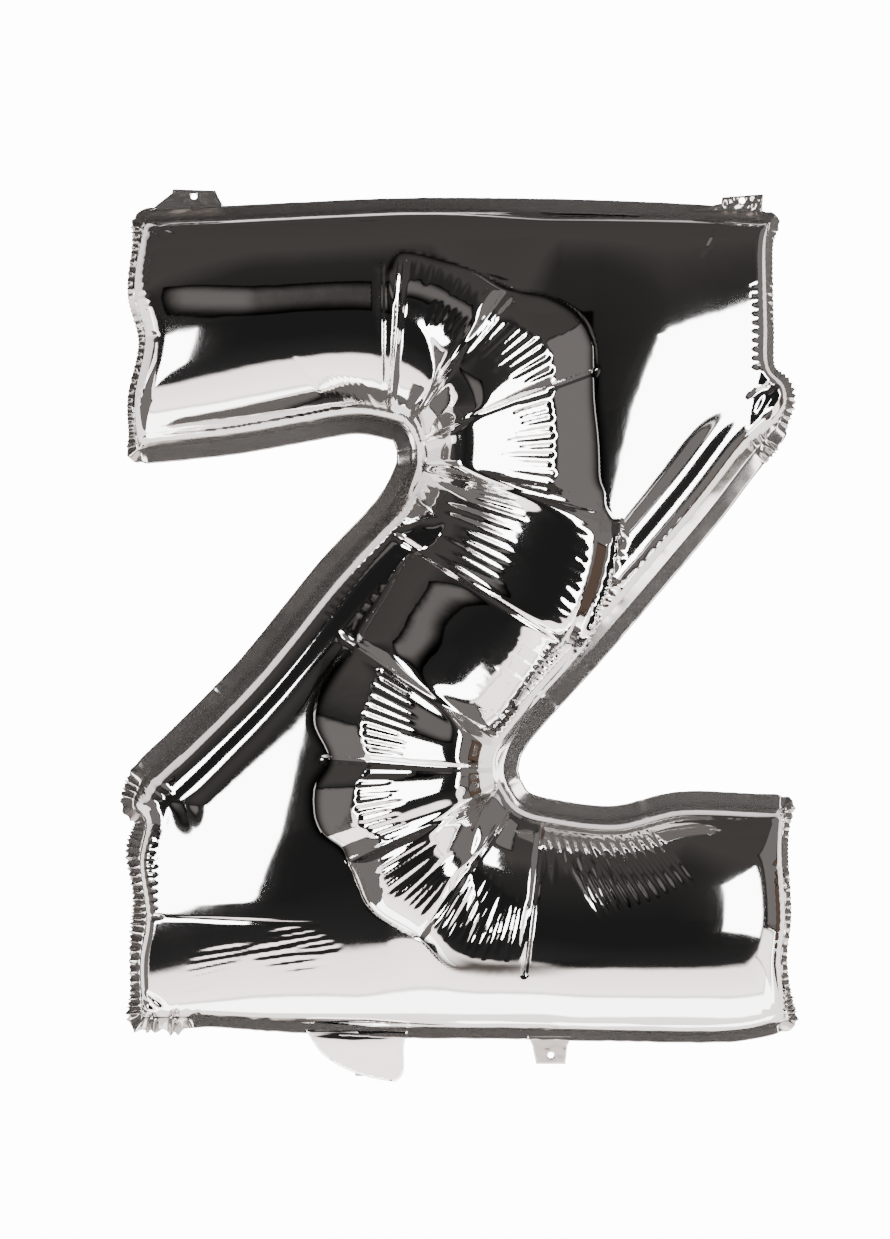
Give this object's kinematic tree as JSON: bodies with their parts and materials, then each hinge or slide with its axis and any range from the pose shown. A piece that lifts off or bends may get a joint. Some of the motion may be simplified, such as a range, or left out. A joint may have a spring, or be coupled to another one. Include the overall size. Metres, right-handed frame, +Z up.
{
  "type": "letter foil balloon",
  "caption": "Silver mirror-film balloon in the shape of a letter Z, with a welded seam, hanging tabs and an inflation tail.",
  "frame": {"origin": "on the hanging line between the string holes of the two top tabs, above the middle of the letter and in the plane of its seam", "axes": "+Z up the letter, +X to its right as it is read, -Y out of the front film"},
  "size_m": [0.326, 0.1436, 0.4302],
  "materials": {
    "mirror_film": "silver mirror film, taut, with fine puckers",
    "welded_margin": "silver film, heat-welded and slightly crinkled",
    "valve_film": "clear thin plastic sleeve"
  },
  "bodies": {
    "root": {"front_film": "mirror_film", "back_film": "mirror_film", "seam_flange": "welded_margin", "hanging_tab_top_left": "welded_margin", "hanging_tab_top_right": "welded_margin", "hanging_tab_bottom": "welded_margin", "tail_front_ply": "mirror_film", "tail_back_ply": "mirror_film", "valve_sleeve": "valve_film"}
  },
  "joints": []
}
